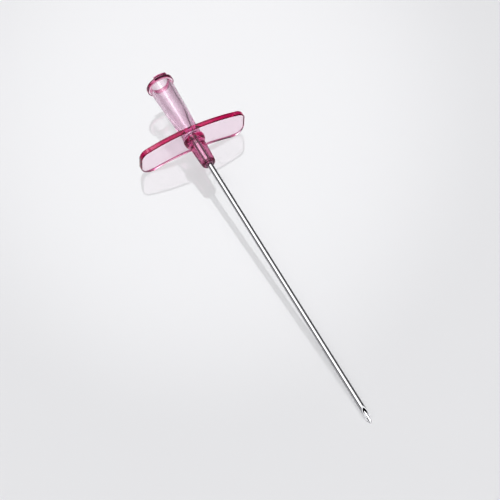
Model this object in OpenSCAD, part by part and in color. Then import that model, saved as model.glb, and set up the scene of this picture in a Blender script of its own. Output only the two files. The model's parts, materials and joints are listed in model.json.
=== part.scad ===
// Guidewire introducer needle: a thin steel cannula with a lancet point, bonded into a
// one-piece clear hub with a tapered socket, two lock lugs and an arched wing plate.
// All sizes are in millimetres.
//
// The needle is drawn along +X with the socket's mouth at x = 0, then laid down at rest:
// on the two feet of the wing plate and on the underside of the point, with +Z up.
// Its origin is on the floor, under the middle of the whole length.

/* [Cannula] */
// outside diameter of the steel tube (18 gauge)
cannula_od = 1.27; // [1.2:0.01:1.3]
// bore of the steel tube, which passes the guidewire
cannula_id = 0.96; // [0.92:0.01:0.96]
// length of tube that shows in front of the hub's nose
exposed_len = 74.1; // [60:0.1:85]
// length of tube held inside the hub
seat_len = 8.2; // [7.7:0.1:8.4]
// slope of the long first grind of the point, from the tube's axis, in degrees
bevel_angle = 17; // [14:0.5:20]
// slope of the two side grinds that make the lancet point, in degrees
lancet_angle = 31; // [27:0.5:36]
// how far each side grind is turned about the axis, in degrees
lancet_turn = 38; // [30:1:45]
// how far past the point the first grind would have run
bevel_overrun = 0.06; // [0.04:0.01:0.12]

/* [Luer socket] */
// diameter of the conical socket at its mouth
socket_d = 4.3; // [4.27:0.01:4.32]
// loss of diameter for each millimetre of depth (a 6 % cone)
socket_taper = 0.06; // [0.06:0.01:0.06]
// depth of the cone
socket_depth = 8.6; // [7.5:0.1:9.0]
// widening of the mouth's lead-in on the radius
lead_in = 0.3; // [0.2:0.05:0.35]
// depth of the lead-in
lead_in_depth = 0.35; // [0.25:0.05:0.5]
// length of the straight throat in front of the tube, where the funnel ends
throat_len = 0.2; // [0.1:0.05:0.4]

/* [Rim and lugs] */
// outside diameter of the rim
rim_d = 6.7; // [6.6:0.01:6.73]
// height of the rim along the axis
rim_h = 1.0; // [0.9:0.05:1.4]
// broken edge of the rim
rim_edge = 0.12; // [0.08:0.02:0.2]
// diameter across the two lock lugs
lug_d = 7.8; // [7.7:0.01:7.83]
// height of a lug where it meets the rim
lug_h = 0.85; // [0.7:0.05:0.88]
// height of a lug at its outer face
lug_outer_h = 0.6; // [0.5:0.05:0.65]
// arc that each lug covers, in degrees
lug_arc = 48; // [40:1:64]

/* [Barrel] */
// barrel diameter just under the rim
barrel_d = 5.74; // [5.6:0.02:6.0]
// barrel diameter at its shoulder
shoulder_d = 5.2; // [5.1:0.02:5.4]
// distance from the mouth to the shoulder
shoulder_x = 8.2; // [7.6:0.1:9.0]
// diameter of the neck where it meets the wing plate
neck_d = 4.5; // [4.3:0.02:4.7]
// distance from the mouth to the start of the straight neck
neck_x = 15.4; // [14.8:0.1:15.6]

/* [Wing plate] */
// distance from the mouth to the back of the wing plate
plate_x = 16.15; // [15.8:0.05:16.4]
// thickness of the wing plate
plate_t = 1.3; // [1.1:0.05:1.4]
// width of the wing plate from end to end
plate_w = 26.8; // [25:0.1:28]
// height of the plate's arched top above the axis
plate_top = 3.7; // [3.4:0.05:4.0]
// radius of the arched top
top_arc_r = 40; // [36:1:46]
// height of the plate's hollow underside below the axis, at the middle
plate_arch = 4.9; // [4.7:0.05:5.1]
// radius of the hollow underside
arch_r = 38; // [34:1:42]
// depth of the two feet below the axis
foot_drop = 6.3; // [6.1:0.05:6.5]
// radius of each foot
foot_r = 2.8; // [2.5:0.1:3.0]
// radius of each upper corner
shoulder_r = 2.6; // [2.3:0.1:2.9]
// broken edge all round both faces of the plate
plate_edge = 0.15; // [0.08:0.01:0.25]

/* [Collar and nose] */
// diameter of the collar in front of the plate
collar_d = 5.1; // [4.9:0.02:5.2]
// straight length of the collar
collar_len = 0.4; // [0.3:0.05:0.6]
// length of the collar's rounded front
collar_round = 1.05; // [0.9:0.05:1.3]
// nose diameter next to the collar
nose_back_d = 4.0; // [3.9:0.02:4.1]
// nose diameter where its end starts to round off
nose_front_d = 3.42; // [3.3:0.02:3.5]
// radius of the nose's rounded end
nose_round = 0.95; // [0.8:0.05:1.0]
// clearance round the tube in the hub's hole, on the radius
seat_clearance = 0.02; // [0.01:0.005:0.03]
// depth of the adhesive well in the nose's end
well_depth = 1.3; // [1.0:0.05:1.5]
// diameter of the adhesive well
well_d = 1.74; // [1.7:0.02:1.8]
// rise of the adhesive's fillet along the tube
fillet_rise = 0.22; // [0.15:0.01:0.3]

/* [Hidden] */
plate_front = plate_x + plate_t;
cannula_r = cannula_od / 2;
cannula_back = plate_front - 0.15;
nose_end = cannula_back + seat_len;
tip_x = nose_end + exposed_len;
hole_r = cannula_r + seat_clearance;
socket_r = socket_d / 2;
socket_end_r = socket_r - socket_taper / 2 * (socket_depth - lead_in_depth);
funnel_end = cannula_back - throat_len;
tilt = atan((foot_drop - cannula_r) / (tip_x - plate_front));
lay_x = -(tip_x * cos(tilt) - (cannula_r + lug_d / 2) * sin(tilt)) / 2;
lay_z = tip_x * sin(tilt) + cannula_r * cos(tilt);
plate_half = plate_w / 2;
// each corner disc stands this far proud, so that it crosses its neighbour cleanly
proud = 0.012;
round_steps = 8;
hub_pink = [0.86, 0.42, 0.60, 0.45];
steel = [0.78, 0.79, 0.80];
clear_resin = [0.93, 0.90, 0.88, 0.6];

hub();
cannula();
bond();

// lays a shape drawn along +X down on the floor in its rest pose
module at_rest() {
  translate([lay_x, 0, lay_z]) rotate([0, tilt, 0]) children();
}

// spins a profile drawn as [radius, distance along the needle] about the needle's axis
module turned(profile) {
  rotate([0, 90, 0]) rotate_extrude($fn = 96) polygon(profile);
}

// the moulded hub in one piece
module hub() {
  color(hub_pink) at_rest() difference() {
    union() {
      turned(outer_profile());
      plate();
      lugs();
    }
    turned(bore_profile());
    translate([nose_end - well_depth, 0, 0]) rotate([0, 90, 0])
      cylinder(h = well_depth + 1, r = well_d / 2, $fn = 64);
  }
}

// outside of the hub, from the mouth to the nose
function outer_profile() = concat(
  [[0, 0], [rim_d / 2 - rim_edge, 0], [rim_d / 2, rim_edge], [rim_d / 2, rim_h - rim_edge],
   [rim_d / 2 - rim_edge, rim_h], [barrel_d / 2, rim_h], [shoulder_d / 2, shoulder_x]],
  [for (i = [1:round_steps - 1]) neck_point(i / round_steps)],
  [[neck_d / 2, neck_x], [neck_d / 2, plate_front - plate_t / 2],
   [collar_d / 2, plate_front - plate_t / 2], [collar_d / 2, plate_front + collar_len]],
  [for (i = [1:round_steps]) collar_point(90 * i / round_steps)],
  [[nose_front_d / 2, nose_end - nose_round]],
  [for (i = [1:round_steps]) nose_point(90 * i / round_steps)],
  [[0, nose_end]]
);

// the shoulder runs down to the neck in a gentle S
function neck_point(t) = [
  shoulder_d / 2 + (neck_d - shoulder_d) / 2 * (3 * t * t - 2 * t * t * t),
  shoulder_x + (neck_x - shoulder_x) * t
];

// quarter round from the collar's side down to the nose
function collar_point(a) = [
  nose_back_d / 2 + (collar_d - nose_back_d) / 2 * cos(a),
  plate_front + collar_len + collar_round * sin(a)
];

// quarter round at the nose's end
function nose_point(a) = [
  nose_front_d / 2 - nose_round * 0.72 * (1 - cos(a)),
  nose_end - nose_round * (1 - sin(a))
];

// inside of the hub: lead-in, 6 % cone, funnel, throat, then the hole for the tube
function bore_profile() = [
  [0, -1], [socket_r + lead_in, -1], [socket_r + lead_in, 0], [socket_r, lead_in_depth],
  [socket_end_r, socket_depth], [cannula_id / 2, funnel_end], [cannula_id / 2, cannula_back],
  [hole_r, cannula_back], [hole_r, nose_end + 1], [0, nose_end + 1]
];

// two lock lugs with a sloping underside, at the top and the bottom of the rim
module lugs() {
  intersection() {
    turned([[rim_d / 2 - 0.6, 0], [lug_d / 2, 0], [lug_d / 2, lug_outer_h],
            [rim_d / 2, lug_h], [rim_d / 2 - 0.6, lug_h]]);
    for (s = [-1, 1]) rotate([0, 90, 0]) linear_extrude(height = 2 * lug_h, center = true)
      polygon([[0, 0], [s * lug_d, lug_d * tan(lug_arc / 2)], [s * lug_d, -lug_d * tan(lug_arc / 2)]]);
  }
}

// wing plate, square to the needle: arched top, hollow underside and two rounded feet,
// with a broken edge all round
module plate() {
  // heights of the corner discs, from the arcs that they run into
  top_y = plate_top - top_arc_r
        + sqrt(pow(top_arc_r - shoulder_r, 2) - pow(plate_half - shoulder_r, 2)) + proud;
  foot_y = foot_r - foot_drop;
  translate([plate_x, 0, 0]) rotate([90, 0, 90]) difference() {
    intersection() {
      ends();
      translate([0, plate_top - top_arc_r, 0]) coin(top_arc_r, 180);
      union() {
        translate([-plate_half - 1, foot_y, 0])
          cube([plate_w + 2, top_y - foot_y, plate_t]);
        for (s = [-1, 1]) {
          translate([s * (plate_half - shoulder_r + proud), top_y, 0]) coin(shoulder_r, 64);
          translate([s * (plate_half - foot_r + proud), foot_y, 0]) coin(foot_r, 64);
        }
        translate([-plate_half + shoulder_r, top_y - 0.5, 0])
          cube([plate_w - 2 * shoulder_r, plate_top + 2, plate_t]);
        sole();
      }
    }
    translate([0, -plate_arch - arch_r, 0]) arch();
  }
}

// flat disc with a broken edge on both faces
module coin(r, steps) {
  rotate_extrude($fn = steps)
    polygon([[0, 0], [r - plate_edge, 0], [r, plate_edge], [r, plate_t - plate_edge],
             [r - plate_edge, plate_t], [0, plate_t]]);
}

// block that ends the plate on the left and the right, with broken edges
module ends() {
  rotate([90, 0, 0]) linear_extrude(height = 4 * foot_drop, center = true)
    polygon([[-plate_half, plate_edge], [plate_edge - plate_half, 0],
             [plate_half - plate_edge, 0], [plate_half, plate_edge],
             [plate_half, plate_t - plate_edge], [plate_half - plate_edge, plate_t],
             [plate_edge - plate_half, plate_t], [-plate_half, plate_t - plate_edge]]);
}

// lower part of the plate between the feet, with a broken lower edge
module sole() {
  low = proud - foot_drop;
  rotate([90, 0, 90]) linear_extrude(height = plate_w - 2 * foot_r, center = true)
    polygon([[low, plate_edge], [low + plate_edge, 0], [0, 0], [0, plate_t],
             [low + plate_edge, plate_t], [low, plate_t - plate_edge]]);
}

// the round hollow under the plate, flared at both faces
module arch() {
  rotate_extrude($fn = 180)
    polygon([[0, -1], [arch_r + plate_edge, -1], [arch_r + plate_edge, 0],
             [arch_r, plate_edge], [arch_r, plate_t - plate_edge],
             [arch_r + plate_edge, plate_t], [arch_r + plate_edge, plate_t + 1],
             [0, plate_t + 1]]);
}

// steel tube with a long first grind, two side grinds and an open bore
module cannula() {
  color(steel) at_rest() difference() {
    translate([cannula_back, 0, 0]) rotate([0, 90, 0])
      cylinder(h = tip_x - cannula_back + 1, r = cannula_r, $fn = 64);
    translate([cannula_back - 1, 0, 0]) rotate([0, 90, 0])
      cylinder(h = tip_x - cannula_back + 3, r = cannula_id / 2, $fn = 64);
    translate([tip_x + bevel_overrun, 0, -cannula_r]) rotate([0, bevel_angle, 0]) grind();
    for (s = [-1, 1]) translate([tip_x, 0, -cannula_r]) rotate([s * lancet_turn, 0, 0])
      rotate([0, lancet_angle, 0]) grind();
  }
}

// the metal that one pass of the wheel takes off
module grind() {
  translate([-9, -4, 0]) cube([13, 8, 6]);
}

// cured adhesive in the nose's well, with a small fillet up the tube
module bond() {
  color(clear_resin) at_rest() turned([
    [cannula_r, nose_end - well_depth], [well_d / 2, nose_end - well_depth],
    [well_d / 2, nose_end], [cannula_r + fillet_rise * 0.35, nose_end + fillet_rise * 0.3],
    [cannula_r, nose_end + fillet_rise]
  ]);
}
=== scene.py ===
"""Guidewire introducer needle: materials for its three pieces and a glossy studio floor."""
import json
import math

import bpy
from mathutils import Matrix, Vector

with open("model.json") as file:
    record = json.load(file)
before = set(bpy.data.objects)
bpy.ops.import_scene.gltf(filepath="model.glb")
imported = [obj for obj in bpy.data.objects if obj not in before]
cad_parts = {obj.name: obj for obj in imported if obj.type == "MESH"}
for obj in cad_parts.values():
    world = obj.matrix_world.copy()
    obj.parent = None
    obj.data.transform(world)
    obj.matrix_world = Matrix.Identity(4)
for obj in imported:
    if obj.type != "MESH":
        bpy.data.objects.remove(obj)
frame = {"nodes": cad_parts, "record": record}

bl_info = {
    "name": "Guidewire introducer needle",
    "version": (1, 0, 0),
    "blender": (4, 5, 0),
    "location": "View3D > Sidebar > Needle",
    "description": "Finishes the hub, cannula and adhesive, and sets up the studio",
    "category": "Object",
}

MM = 0.001

# The needle's line at rest, from the hub's mouth: the record's mount looks out of the mouth.
LUER = [mount for mount in frame["record"]["mounts"] if mount["name"] == "luer"][0]
MOUTH = Vector(LUER["pos_m"])
NEEDLE_WAY = -Vector(LUER["axis"])
NEEDLE_SIDE = NEEDLE_WAY.cross(Vector((0.0, 0.0, 1.0))).normalized()
NEEDLE_DOWN = NEEDLE_WAY.cross(NEEDLE_SIDE)

# Places along the needle from the mouth, in millimetres, as the hub is built.
RIM_END = 1.2
PLATE_BACK = 16.15
PLATE_FRONT = 17.45
COLLAR_FRONT = 19.4
NOSE_ROUND = 24.3
# Distances out from the needle's axis, in millimetres.
TUBE_OUT = 1.1
BARREL_OUT = 2.6
RIM_OUT = 3.0
# The plate's hollow underside: how far its middle line runs below the axis, its radius, and
# how far below the axis its feet turn, in millimetres.
ARCH_DROP = 42.9
ARCH_RADIUS = 38.0
FEET_DROP = 5.7
ARCH_MIDDLE = MOUTH + NEEDLE_DOWN * ARCH_DROP * MM
# Past every part of the hub, in millimetres.
FAR = 60

# Where the painted shade and the painted highlight lie over the hub's clear resin: the setting,
# then from, to and softness along the needle, then the same for a second measure, in
# millimetres. The measure "out" runs out from the needle's axis, "down" below it, and "arch" out
# from the arch's middle line. Later rows lie on top.
REGIONS = (
    ("painted_border_shade", (PLATE_BACK - 0.1, PLATE_FRONT + 0.1, 0.05),
     "arch", (ARCH_RADIUS - 0.1, ARCH_RADIUS + 0.4, 0.12)),
    ("painted_border_shade", (PLATE_BACK - 0.1, PLATE_FRONT + 0.1, 0.05), "down", (FEET_DROP, FAR, 0.25)),
    ("edge", (PLATE_BACK, PLATE_FRONT, 0.06), "out", (BARREL_OUT, FAR, 0.5)),
    ("painted_edge_highlight", (PLATE_BACK + 0.15, PLATE_FRONT - 0.25, 0.25), "out", (BARREL_OUT, FAR, 0.5)),
    ("rim", (0.05, RIM_END, 0.1), "out", (RIM_OUT, FAR, 0.2)),
    ("painted_lip_shade", (0.1, 0.9, 0.15), "out", (-FAR, BARREL_OUT, 0.2)),
    ("barrel", (RIM_END - 0.2, PLATE_BACK, 0.5), "out", (-FAR, FAR, 1.0)),
    ("nose", (PLATE_FRONT, FAR, 1.0), "out", (TUBE_OUT, FAR, 0.3)),
    ("collar", (PLATE_FRONT, COLLAR_FRONT, 0.3), "out", (TUBE_OUT, FAR, 0.3)),
    ("collar", (NOSE_ROUND, FAR, 0.5), "out", (TUBE_OUT, FAR, 0.3)),
)

# Sockets of the colour mix node, which share their names with its other kinds.
MIX_SHARE = 0
MIX_UNDER = 6
MIX_OVER = 7
MIX_RESULT = 2

# Thickness that the clear pieces' tints are stated for.
TINT_DEPTH = 10 * MM

# Heights of the finest reliefs: the moulding's flow ripples and the lines drawn in the steel.
RIPPLE_HEIGHT = 0.0004 * MM
LINE_HEIGHT = 0.0002 * MM
# How far the drawn lines run along the tube, in line widths.
LINE_LENGTH = 60
# Shares of the polish between which the roughness wanders.
HUB_SMOOTH = 0.5
HUB_ROUGH = 1.5
TUBE_SMOOTH = 0.7
TUBE_ROUGH = 1.4

# Where the camera stands and looks, in metres, solved from the photograph.
CAMERA_PLACE = Vector((0.246830, -0.135749, 0.406442))
CAMERA_AIM = Vector((-0.002334, -0.001319, 0.0))

# Directions towards the lights.
TENT_WAY = Vector((-0.075, -0.25, 0.94))
KEY_WAY = Vector((-0.28, -0.298, 0.913))
WALL_WAY = Vector((0.75, 0.45, 0.25))
# Where the sheet mirrors the panel in the view, aside and up from its middle at distance one.
PANEL_ASIDE = 0.0228
PANEL_UP = 0.0547

# Half the width of the sheet, in metres.
FLOOR_HALF = 3.0


def linear(hex_code):
    """Turns an sRGB hex code such as "f0eeee" into linear red, green and blue."""
    channels = [int(hex_code[i:i + 2], 16) / 255 for i in (0, 2, 4)]
    return tuple(c / 12.92 if c <= 0.04045 else ((c + 0.055) / 1.055) ** 2.4 for c in channels)


class HubSettings(bpy.types.PropertyGroup):
    """The clear rose-pink moulding, and the painted shades and highlight laid over its regions.
    """

    tint: bpy.props.FloatVectorProperty(
        name="Tint", description="Light that 10 mm of the resin lets through",
        subtype="COLOR", size=3, min=0.0, max=1.0, default=linear("eda2cb"))
    # Painted shade: a darker crimson over the plate's narrow edge, laid over the uniform resin.
    # The colours below are likewise laid region by region.
    edge: bpy.props.FloatVectorProperty(
        name="Plate edge", description="Colour of the two borders of the plate's narrow edge",
        subtype="COLOR", size=3, min=0.0, max=1.0, default=linear("c8206a"))
    # Painted highlight: a lighter band along the middle of the plate's narrow edge.
    painted_edge_highlight: bpy.props.FloatVectorProperty(
        name="Heart of the edge", description="Colour of the middle of the plate's narrow edge",
        subtype="COLOR", size=3, min=0.0, max=1.0, default=linear("e84a92"))
    # Painted shade: a dark crimson line along the lower border of the plate's faces and its
    # feet.
    painted_border_shade: bpy.props.FloatVectorProperty(
        name="Border", description="Colour of the narrow lower border of the plate's faces",
        subtype="COLOR", size=3, min=0.0, max=1.0, default=linear("900c40"))
    # Painted shade: a deeper colour over the rim's outer skin and its lugs.
    rim: bpy.props.FloatVectorProperty(
        name="Rim", description="Colour of the rim's outer skin and its lugs",
        subtype="COLOR", size=3, min=0.0, max=1.0, default=linear("e06a9a"))
    # Painted shade: a darker line at the lead-in just inside the mouth.
    painted_lip_shade: bpy.props.FloatVectorProperty(
        name="Lip", description="Colour of the lead-in just inside the mouth",
        subtype="COLOR", size=3, min=0.0, max=1.0, default=linear("e890b8"))
    # Painted shade: a faint greying over the barrel's wall.
    barrel: bpy.props.FloatVectorProperty(
        name="Barrel", description="Colour of the barrel's wall",
        subtype="COLOR", size=3, min=0.0, max=1.0, default=linear("f8f0f5"))
    # Painted shade: a deeper colour over the collar and the nose's rounded end.
    collar: bpy.props.FloatVectorProperty(
        name="Collar", description="Colour of the collar and of the nose's rounded end",
        subtype="COLOR", size=3, min=0.0, max=1.0, default=linear("e07aa6"))
    # Painted shade: a deeper colour over the solid nose.
    nose: bpy.props.FloatVectorProperty(
        name="Nose", description="Colour of the solid nose",
        subtype="COLOR", size=3, min=0.0, max=1.0, default=linear("e9aec7"))
    polish: bpy.props.FloatProperty(
        name="Polish", description="Roughness of the moulded faces",
        min=0.0, max=0.3, default=0.02, subtype="FACTOR")
    flow_size: bpy.props.FloatProperty(
        name="Flow size", description="Width of the faint flow ripples in the moulding",
        min=0.0005, max=0.01, default=0.004, subtype="DISTANCE", unit="LENGTH")


class CannulaSettings(bpy.types.PropertyGroup):
    """The drawn steel tube."""

    steel: bpy.props.FloatVectorProperty(
        name="Steel", description="Reflected colour of the stainless tube",
        subtype="COLOR", size=3, min=0.0, max=1.0, default=linear("cfcfd0"))
    grazing: bpy.props.FloatVectorProperty(
        name="Grazing", description="Share of the reflection kept along the tube's two sides",
        subtype="COLOR", size=3, min=0.0, max=1.0, default=linear("89898b"))
    polish: bpy.props.FloatProperty(
        name="Polish", description="Roughness of the drawn wall",
        min=0.0, max=0.5, default=0.03, subtype="FACTOR")
    line_size: bpy.props.FloatProperty(
        name="Line size", description="Width of the fine lines left by drawing and grinding",
        min=0.00001, max=0.001, default=0.00006, subtype="DISTANCE", unit="LENGTH")


class BondSettings(bpy.types.PropertyGroup):
    """The cured adhesive in the nose."""

    tint: bpy.props.FloatVectorProperty(
        name="Tint", description="Light that 10 mm of the adhesive lets through",
        subtype="COLOR", size=3, min=0.0, max=1.0, default=linear("e7d4ce"))
    cloud_size: bpy.props.FloatProperty(
        name="Cloud size", description="Size of the faint clouding in the adhesive's skin",
        min=0.0001, max=0.005, default=0.0006, subtype="DISTANCE", unit="LENGTH")


class StudioSettings(bpy.types.PropertyGroup):
    """The floor, the lights and the camera."""

    floor: bpy.props.FloatVectorProperty(
        name="Floor", description="Colour of the glossy sheet",
        subtype="COLOR", size=3, min=0.0, max=1.0, default=linear("e6e6e6"))
    light: bpy.props.FloatVectorProperty(
        name="Light", description="Colour of all the studio light",
        subtype="COLOR", size=3, min=0.0, max=1.0, default=linear("fafafc"))
    tent: bpy.props.FloatProperty(
        name="Light tent", description="Brightness of the broad ceiling of the light tent",
        min=0.0, default=0.775)
    panel: bpy.props.FloatProperty(
        name="Panel", description="Extra brightness of the panel that the floor mirrors",
        min=0.0, default=1.05)
    key: bpy.props.FloatProperty(
        name="Key", description="Extra brightness of the light that lines the tubes with white",
        min=0.0, default=2.5)
    wall: bpy.props.FloatProperty(
        name="Wall", description="Brightness of the pale wall beyond the needle's point",
        min=0.0, default=0.25)
    surround: bpy.props.FloatProperty(
        name="Surround", description="Brightness of the dim room round the table",
        min=0.0, default=0.10)
    focal: bpy.props.FloatProperty(
        name="Focal length", description="Lens on a 36 mm wide frame, in millimetres",
        min=20.0, default=158.0)


def new_material(name):
    """An empty node material."""
    material = bpy.data.materials.new(name)
    material.use_nodes = True
    material.node_tree.nodes.clear()
    return material


def add(tree, kind, inputs, **settings):
    """Adds a node with its settings; an input is a plain value, a socket or another node."""
    node = tree.nodes.new(kind)
    for name, value in settings.items():
        setattr(node, name, value)
    for name, value in inputs.items():
        if isinstance(value, bpy.types.Node):
            value = value.outputs[0]
        if isinstance(value, bpy.types.NodeSocket):
            tree.links.new(value, node.inputs[name])
        else:
            node.inputs[name].default_value = value
    return node


def put_on(node_name, material):
    """Gives a CAD node its one material."""
    piece = frame["nodes"][node_name]
    piece.data.materials.clear()
    piece.data.materials.append(material)
    return piece


def thickness_tint(passed):
    """Absorption colour and density of a clear solid, from what its tint depth lets through."""
    least_passed = 0.001
    above_greatest = 1.05
    taken = [-math.log(max(c, least_passed)) / TINT_DEPTH for c in passed]
    density = max(taken) * above_greatest
    return [1 - t / density for t in taken] + [1.0], density


def within(tree, value, low, high, soft):
    """One between low and high, nothing outside, with soft ends."""
    rise = add(tree, "ShaderNodeMapRange",
               {"Value": value, "From Min": low, "From Max": low + soft})
    fall = add(tree, "ShaderNodeMapRange",
               {"Value": value, "From Min": high, "From Max": high - soft})
    return add(tree, "ShaderNodeMath", {0: rise, 1: fall}, operation="MULTIPLY")


def needle_places(tree, start):
    """Distances in metres from a point: along the needle, out from that line, and down."""
    place = add(tree, "ShaderNodeTexCoord", {}).outputs["Object"]
    from_start = add(tree, "ShaderNodeVectorMath", {0: place, 1: start}, operation="SUBTRACT")
    along = add(tree, "ShaderNodeVectorMath", {0: from_start, 1: NEEDLE_WAY},
                operation="DOT_PRODUCT").outputs["Value"]
    across = add(tree, "ShaderNodeVectorMath", {0: from_start, 1: NEEDLE_WAY},
                 operation="CROSS_PRODUCT")
    out = add(tree, "ShaderNodeVectorMath", {0: across}, operation="LENGTH").outputs["Value"]
    down = add(tree, "ShaderNodeVectorMath", {0: from_start, 1: NEEDLE_DOWN},
               operation="DOT_PRODUCT").outputs["Value"]
    return along, out, down


def painted_light_and_shade(tree, look):
    """Clear in the plate's faces, with the settings' painted shades and painted highlight laid
    over it region by region.
    """
    along, out, down = needle_places(tree, MOUTH)
    measures = {"out": out, "down": down, "arch": needle_places(tree, ARCH_MIDDLE)[1]}
    colour = (*linear("ffffff"), 1.0)
    for name, reach, measure, limits in REGIONS:
        by_length = within(tree, along, *(value * MM for value in reach))
        by_measure = within(tree, measures[measure], *(value * MM for value in limits))
        share = add(tree, "ShaderNodeMath", {0: by_length, 1: by_measure}, operation="MULTIPLY")
        over = (*getattr(look, name), 1.0)
        mix = add(tree, "ShaderNodeMix", {MIX_SHARE: share, MIX_UNDER: colour, MIX_OVER: over},
                  data_type="RGBA")
        colour = mix.outputs[MIX_RESULT]
    return colour


class NEEDLE_OT_hub(bpy.types.Operator):
    """Finish the moulded hub as clear rose-pink plastic"""

    bl_idname = "needle.hub"
    bl_label = "Hub"

    def execute(self, context):
        look = context.scene.needle_hub
        # Moulded polycarbonate: the plate's faces read nearly clear, because light crosses them
        # once, while its edge and the nose gather colour over a long path. Over the resin's own
        # colour lie painted shade on the edge, border, rim, lip, barrel, collar and nose, and a
        # painted highlight along the middle of the edge, laid region by region.
        material = new_material("clear_pink_polycarbonate")
        tree = material.node_tree
        place = add(tree, "ShaderNodeTexCoord", {}).outputs["Object"]
        ripple = add(tree, "ShaderNodeTexNoise",
                     {"Vector": place, "Scale": 1 / look.flow_size, "Detail": 3.0})
        haze = add(tree, "ShaderNodeMapRange",
                   {"Value": ripple, "To Min": look.polish * HUB_SMOOTH,
                    "To Max": look.polish * HUB_ROUGH})
        skin = add(tree, "ShaderNodeBump",
                   {"Height": ripple, "Strength": 1.0, "Distance": RIPPLE_HEIGHT})
        shader = add(tree, "ShaderNodeBsdfPrincipled", {
            "Base Color": painted_light_and_shade(tree, look),
            "Transmission Weight": 0.97,
            "IOR": 1.585,
            "Roughness": haze,
            "Normal": skin,
        })
        absorbed, density = thickness_tint(look.tint)
        depth = add(tree, "ShaderNodeVolumeAbsorption", {"Color": absorbed, "Density": density})
        add(tree, "ShaderNodeOutputMaterial", {"Surface": shader, "Volume": depth})
        hub = put_on("hub", material)
        # The traced shadow and bounced light of a clear solid come out far stronger on the sheet
        # than a real hub's, so they are off, and its mirror image grounds it.
        hub.visible_shadow = False
        hub.visible_diffuse = False
        return {"FINISHED"}


class NEEDLE_OT_cannula(bpy.types.Operator):
    """Finish the tube as drawn and ground stainless steel"""

    bl_idname = "needle.cannula"
    bl_label = "Cannula"

    def execute(self, context):
        look = context.scene.needle_cannula
        # Drawn stainless steel: a bright line along the tube between two dark sides, which
        # reflect less than an ideal metal would at a grazing angle.
        material = new_material("drawn_stainless_steel")
        tree = material.node_tree
        place = add(tree, "ShaderNodeTexCoord", {}).outputs["Object"]
        drawn = add(tree, "ShaderNodeMapping",
                    {"Vector": place, "Scale": (1 / LINE_LENGTH, 1.0, 1.0)})
        lines = add(tree, "ShaderNodeTexNoise",
                    {"Vector": drawn, "Scale": 1 / look.line_size, "Detail": 2.0})
        grain = add(tree, "ShaderNodeMapRange",
                    {"Value": lines, "To Min": look.polish * TUBE_SMOOTH,
                     "To Max": look.polish * TUBE_ROUGH})
        skin = add(tree, "ShaderNodeBump",
                   {"Height": lines, "Strength": 1.0, "Distance": LINE_HEIGHT})
        shader = add(tree, "ShaderNodeBsdfPrincipled", {
            "Base Color": (*look.steel, 1.0),
            "Metallic": 1.0,
            "Specular Tint": (*look.grazing, 1.0),
            "Roughness": grain,
            "Normal": skin,
        })
        add(tree, "ShaderNodeOutputMaterial", {"Surface": shader})
        # So thin a tube lays only a faint shade in this light: its mirror image is enough.
        put_on("cannula", material).visible_shadow = False
        return {"FINISHED"}


class NEEDLE_OT_bond(bpy.types.Operator):
    """Finish the adhesive as a clear cured resin"""

    bl_idname = "needle.bond"
    bl_label = "Adhesive"

    def execute(self, context):
        look = context.scene.needle_bond
        # Light-cured acrylic: clear, with a faint warm cloud where it meets the steel.
        material = new_material("clear_cured_adhesive")
        tree = material.node_tree
        place = add(tree, "ShaderNodeTexCoord", {}).outputs["Object"]
        clouds = add(tree, "ShaderNodeTexNoise",
                     {"Vector": place, "Scale": 1 / look.cloud_size, "Detail": 3.0})
        haze = add(tree, "ShaderNodeMapRange", {"Value": clouds, "To Min": 0.05, "To Max": 0.15})
        shader = add(tree, "ShaderNodeBsdfPrincipled", {
            "Base Color": (*linear("ffffff"), 1.0),
            "Transmission Weight": 1.0,
            "IOR": 1.5,
            "Roughness": haze,
        })
        absorbed, density = thickness_tint(look.tint)
        depth = add(tree, "ShaderNodeVolumeAbsorption", {"Color": absorbed, "Density": density})
        add(tree, "ShaderNodeOutputMaterial", {"Surface": shader, "Volume": depth})
        put_on("bond", material)
        return {"FINISHED"}


def glow(tree, way, inner, outer, strength):
    """A round soft light in a direction: full inside one angle, gone outside the other."""
    place = add(tree, "ShaderNodeTexCoord", {}).outputs["Generated"]
    facing = add(tree, "ShaderNodeVectorMath", {0: place, 1: way.normalized()},
                 operation="DOT_PRODUCT")
    return add(tree, "ShaderNodeMapRange", {
        "Value": facing.outputs["Value"],
        "From Min": math.cos(math.radians(outer)),
        "From Max": math.cos(math.radians(inner)),
        "To Max": strength,
    }, interpolation_type="SMOOTHSTEP")


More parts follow.
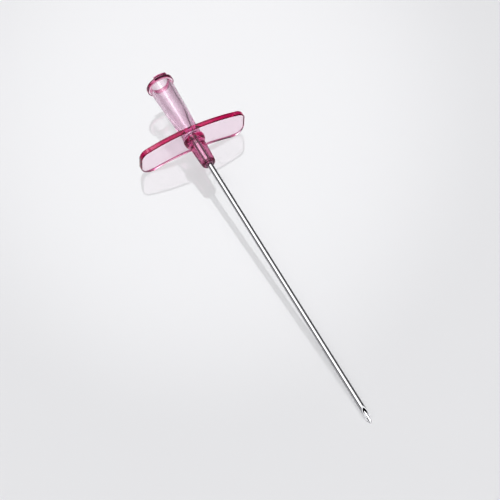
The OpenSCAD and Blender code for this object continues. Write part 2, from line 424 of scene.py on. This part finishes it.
class NEEDLE_OT_stage(bpy.types.Operator):
    """Lay the glossy floor, hang the lights and place the camera"""

    bl_idname = "needle.stage"
    bl_label = "Stage"

    def execute(self, context):
        look = context.scene.needle_studio
        scene = context.scene

        # Cast acrylic sheet, glossy white: mirrors the hub and the tube faintly.
        material = new_material("glossy_white_acrylic")
        tree = material.node_tree
        shader = add(tree, "ShaderNodeBsdfPrincipled", {
            "Base Color": (*look.floor, 1.0),
            "Roughness": 0.01,
            "IOR": 1.49,
            "Coat Weight": 0.7,
            "Coat Roughness": 0.02,
            "Coat IOR": 1.49,
        })
        add(tree, "ShaderNodeOutputMaterial", {"Surface": shader})
        sheet = bpy.data.meshes.new("floor")
        signs = ((-1, -1), (1, -1), (1, 1), (-1, 1))
        points = [(x * FLOOR_HALF, y * FLOOR_HALF, 0) for x, y in signs]
        sheet.from_pydata(points, [], [(0, 1, 2, 3)])
        sheet.materials.append(material)
        floor = bpy.data.objects.new("floor", sheet)
        scene.collection.objects.link(floor)

        lens = bpy.data.cameras.new("camera")
        lens.sensor_width = 36.0
        lens.lens = look.focal
        lens.clip_start = 0.01
        lens.clip_end = 20.0
        camera = bpy.data.objects.new("camera", lens)
        camera.location = CAMERA_PLACE
        ahead = (CAMERA_AIM - CAMERA_PLACE).normalized()
        camera.rotation_euler = ahead.to_track_quat("-Z", "Y").to_euler()
        scene.collection.objects.link(camera)
        scene.camera = camera

        # The panel hangs where the sheet mirrors it a little above the middle of the view.
        aside = Vector((-ahead.y, ahead.x, 0.0)).normalized()
        mirrored = ahead + aside * PANEL_ASIDE + ahead.cross(aside) * PANEL_UP
        mirrored.z = -mirrored.z
        world = bpy.data.worlds.new("studio")
        scene.world = world
        world.use_nodes = True
        tree = world.node_tree
        tree.nodes.clear()
        strength = look.surround
        # Each light's direction, the angle it is full within, the angle it ends at, in degrees,
        # and its brightness.
        lights = (
            (TENT_WAY, 47, 55, look.tent),
            (mirrored, 1, 8, look.panel),
            (KEY_WAY, 6, 16, look.key),
            (WALL_WAY, 30, 75, look.wall),
        )
        for light in lights:
            lamp = glow(tree, *light)
            strength = add(tree, "ShaderNodeMath", {0: lamp, 1: strength}, operation="ADD")
        shine = add(tree, "ShaderNodeBackground",
                    {"Color": (*look.light, 1.0), "Strength": strength})
        add(tree, "ShaderNodeOutputWorld", {"Surface": shine})

        scene.view_settings.view_transform = "Standard"
        scene.view_settings.look = "High Contrast"
        scene.cycles.use_denoising = True
        scene.cycles.max_bounces = 24
        scene.cycles.transmission_bounces = 20
        scene.cycles.glossy_bounces = 8
        return {"FINISHED"}


class NEEDLE_PT_panel(bpy.types.Panel):
    """Lists the needle's pieces and their settings"""

    bl_idname = "NEEDLE_PT_panel"
    bl_label = "Introducer needle"
    bl_space_type = "VIEW_3D"
    bl_region_type = "UI"
    bl_category = "Needle"

    def draw(self, context):
        scene = context.scene
        groups = (
            (NEEDLE_OT_hub, scene.needle_hub),
            (NEEDLE_OT_cannula, scene.needle_cannula),
            (NEEDLE_OT_bond, scene.needle_bond),
            (NEEDLE_OT_stage, scene.needle_studio),
        )
        for operator, settings in groups:
            box = self.layout.box()
            box.operator(operator.bl_idname)
            for name in settings.__annotations__:
                box.prop(settings, name)


CLASSES = (
    HubSettings, CannulaSettings, BondSettings, StudioSettings,
    NEEDLE_OT_hub, NEEDLE_OT_cannula, NEEDLE_OT_bond, NEEDLE_OT_stage, NEEDLE_PT_panel,
)


def register():
    for cls in CLASSES:
        bpy.utils.register_class(cls)
    bpy.types.Scene.needle_hub = bpy.props.PointerProperty(type=HubSettings)
    bpy.types.Scene.needle_cannula = bpy.props.PointerProperty(type=CannulaSettings)
    bpy.types.Scene.needle_bond = bpy.props.PointerProperty(type=BondSettings)
    bpy.types.Scene.needle_studio = bpy.props.PointerProperty(type=StudioSettings)


def unregister():
    del bpy.types.Scene.needle_studio
    del bpy.types.Scene.needle_bond
    del bpy.types.Scene.needle_cannula
    del bpy.types.Scene.needle_hub
    for cls in reversed(CLASSES):
        bpy.utils.unregister_class(cls)


def main():
    """Runs each tool once."""
    register()
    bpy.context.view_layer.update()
    bpy.ops.needle.hub()
    bpy.ops.needle.cannula()
    bpy.ops.needle.bond()
    bpy.ops.needle.stage()


if __name__ == "__main__":
    main()
